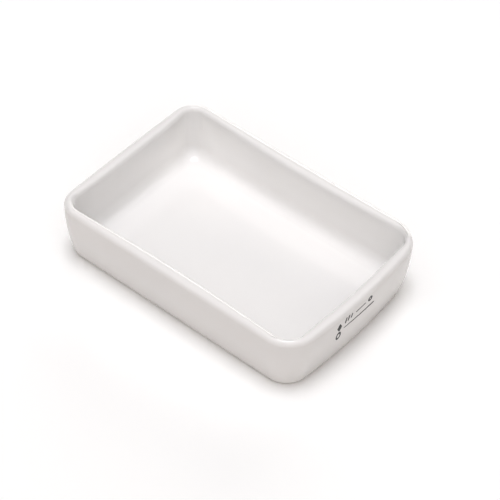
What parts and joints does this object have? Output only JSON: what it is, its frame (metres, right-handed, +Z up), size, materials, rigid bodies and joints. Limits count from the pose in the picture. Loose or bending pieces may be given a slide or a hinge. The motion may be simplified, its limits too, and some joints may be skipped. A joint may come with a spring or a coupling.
{
  "type": "porcelain incineration dish",
  "caption": "Shallow rectangular glazed porcelain dish with rounded corners and a round rim, for burning a sample to ash in a furnace.",
  "frame": {"origin": "on the base plane, under the middle of the dish", "axes": "+X along the length, towards the end that carries the printed rules; +Y across the width; +Z up, out of the open top"},
  "size_m": [0.1, 0.067, 0.022],
  "materials": {
    "porcelain": "glossy white glaze inside and out, with a matt unglazed underside",
    "stamp": "black stamping ink, fired on"
  },
  "bodies": {
    "root": {"dish": "porcelain"}
  },
  "joints": []
}
